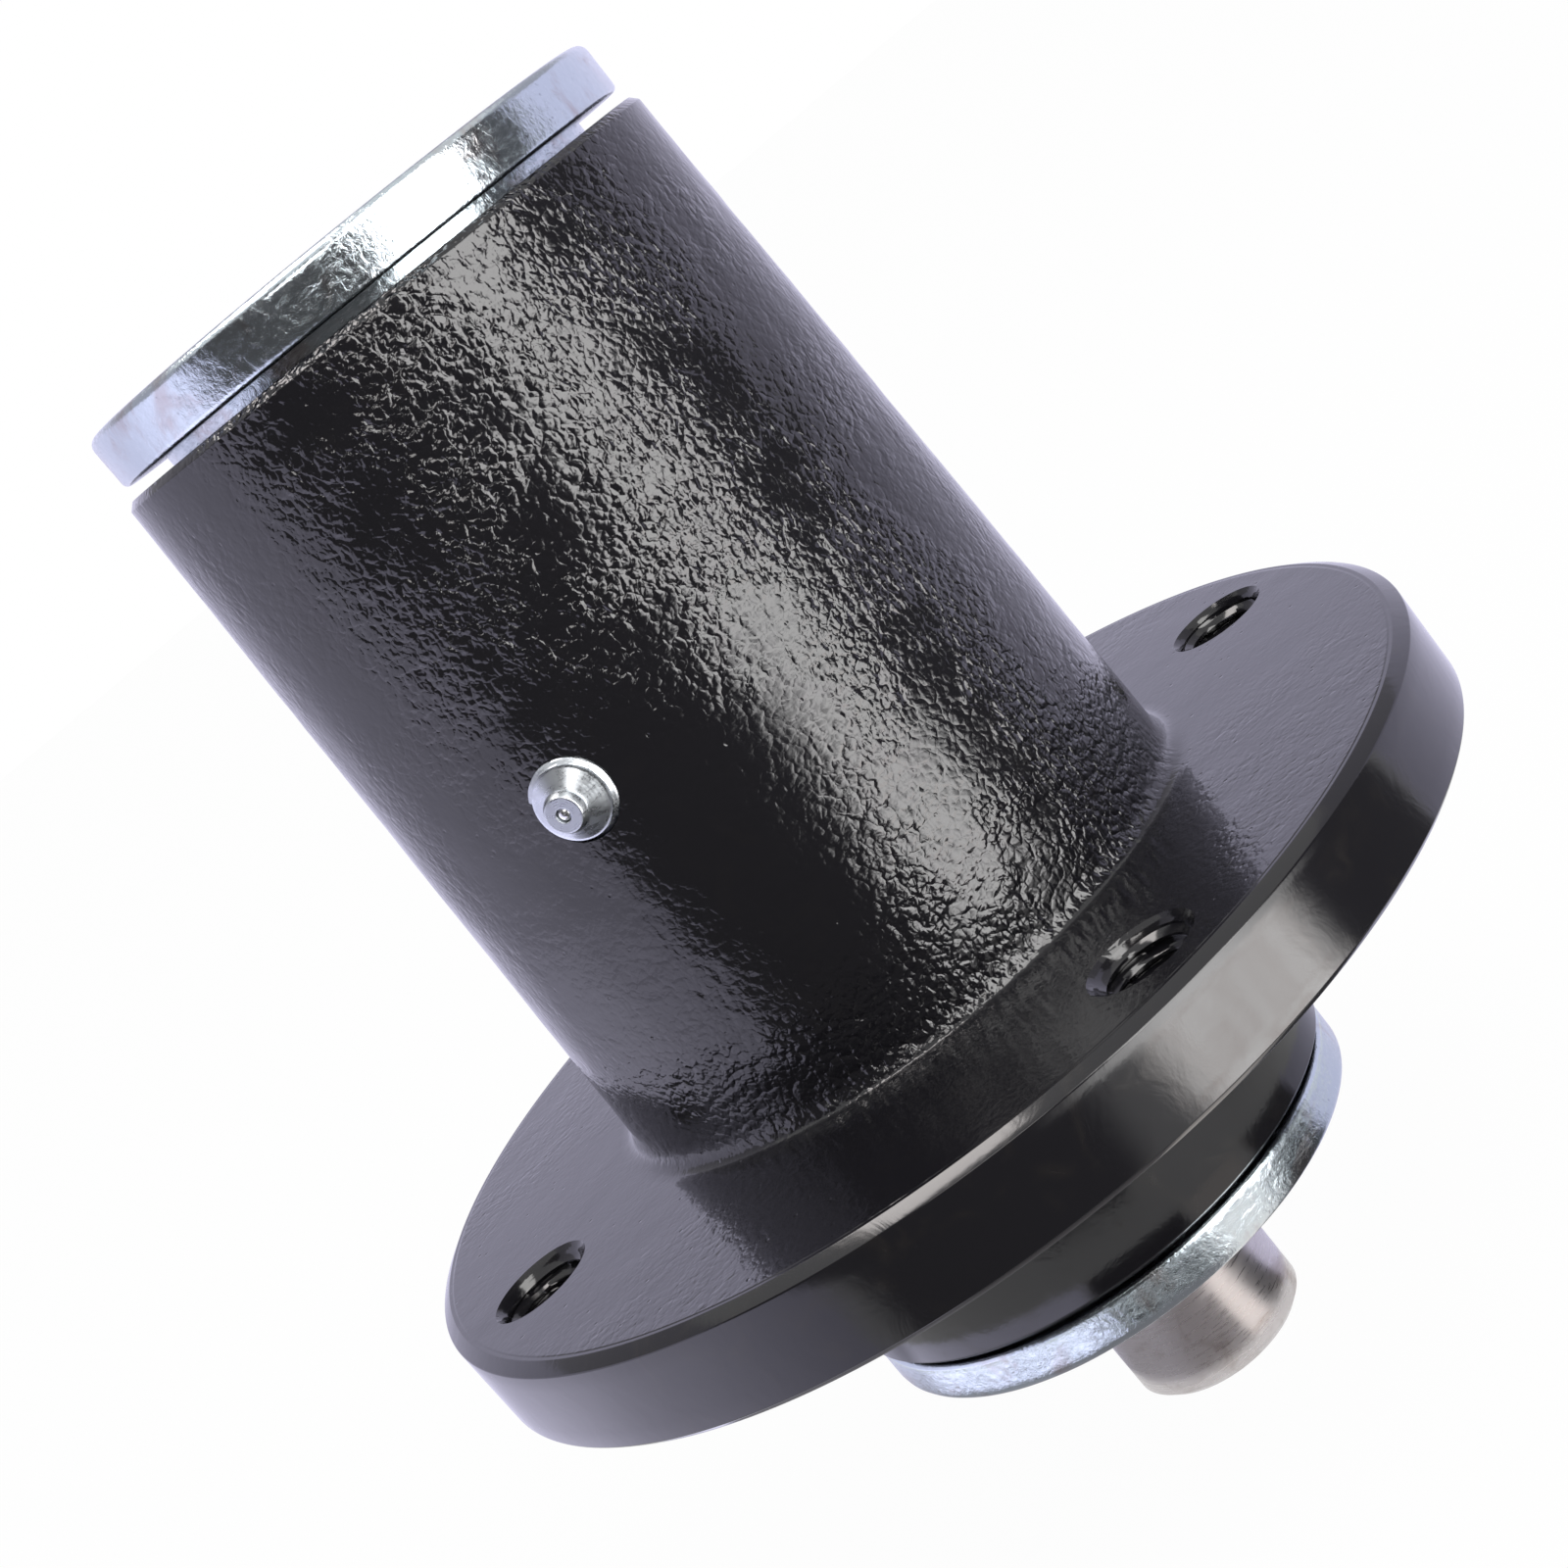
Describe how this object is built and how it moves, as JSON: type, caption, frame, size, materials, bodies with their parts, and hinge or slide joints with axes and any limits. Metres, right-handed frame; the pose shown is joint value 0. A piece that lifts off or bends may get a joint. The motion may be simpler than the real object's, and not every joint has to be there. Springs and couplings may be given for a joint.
{
  "type": "mower deck spindle",
  "caption": "Flanged cast housing with a drafted barrel, a shaft on tapered roller bearings, zinc plated end caps, oil seals and a grease fitting.",
  "frame": {"origin": "on the spindle's axis, in the mounting face under the flange, at the centre of the bolt circle", "axes": "+Z along the spindle's axis towards the pulley end, +X through one of the four flange holes"},
  "size_m": [0.15, 0.15, 0.1806],
  "materials": {
    "black_casting": "gloss black paint over rough casting",
    "ground_steel": "ground",
    "zinc_plate": "bluish zinc plate",
    "bright_zinc": "bright zinc plate",
    "plain_steel": "turned",
    "bearing_steel": "polished",
    "cage_steel": "pressed",
    "spring_steel": "black phosphate",
    "seal_rubber": "matt"
  },
  "bodies": {
    "casing": {"housing": "black_casting", "upper_bearing_cup": "bearing_steel", "lower_bearing_cup": "bearing_steel", "upper_seal_case": "plain_steel", "upper_seal_lip": "seal_rubber", "upper_seal_garter": "spring_steel", "lower_seal_case": "plain_steel", "lower_seal_lip": "seal_rubber", "lower_seal_garter": "spring_steel", "grease_fitting": "bright_zinc", "grease_check_spring": "spring_steel"},
    "rotor": {"shaft": "ground_steel", "upper_cap": "zinc_plate", "lower_cap": "zinc_plate", "bearing_spacer": "plain_steel", "upper_bearing_cone": "bearing_steel", "lower_bearing_cone": "bearing_steel", "upper_retaining_ring": "spring_steel", "lower_retaining_ring": "spring_steel"},
    "upper_cage": {"upper_bearing_cage": "cage_steel", "upper_bearing_rollers": "bearing_steel"},
    "lower_cage": {"lower_bearing_cage": "cage_steel", "lower_bearing_rollers": "bearing_steel"},
    "check_ball": {"grease_check_ball": "bearing_steel"}
  },
  "joints": [
    {"name": "spindle_spin", "type": "hinge", "parent": "casing", "child": "rotor", "pos_m": [0, 0, 0], "axis": [0, 0, 1], "continuous": true},
    {"name": "upper_cage_spin", "type": "hinge", "parent": "casing", "child": "upper_cage", "pos_m": [0, 0, 0.089], "axis": [0, 0, 1], "continuous": true},
    {"name": "lower_cage_spin", "type": "hinge", "parent": "casing", "child": "lower_cage", "pos_m": [0, 0, -0.0015], "axis": [0, 0, 1], "continuous": true},
    {"name": "check_ball_slide", "type": "slide", "parent": "casing", "child": "check_ball", "axis": [0.6947, 0.7193, 0], "range_m": [0, 0.0006], "stiffness_N_per_m": 50, "springref_m": -0.001, "deforming": ["grease_check_spring"]}
  ],
  "couplings": [
    {"joint": "upper_cage_spin", "follows": "spindle_spin", "ratio": 0.4244},
    {"joint": "lower_cage_spin", "follows": "spindle_spin", "ratio": 0.4244}
  ]
}
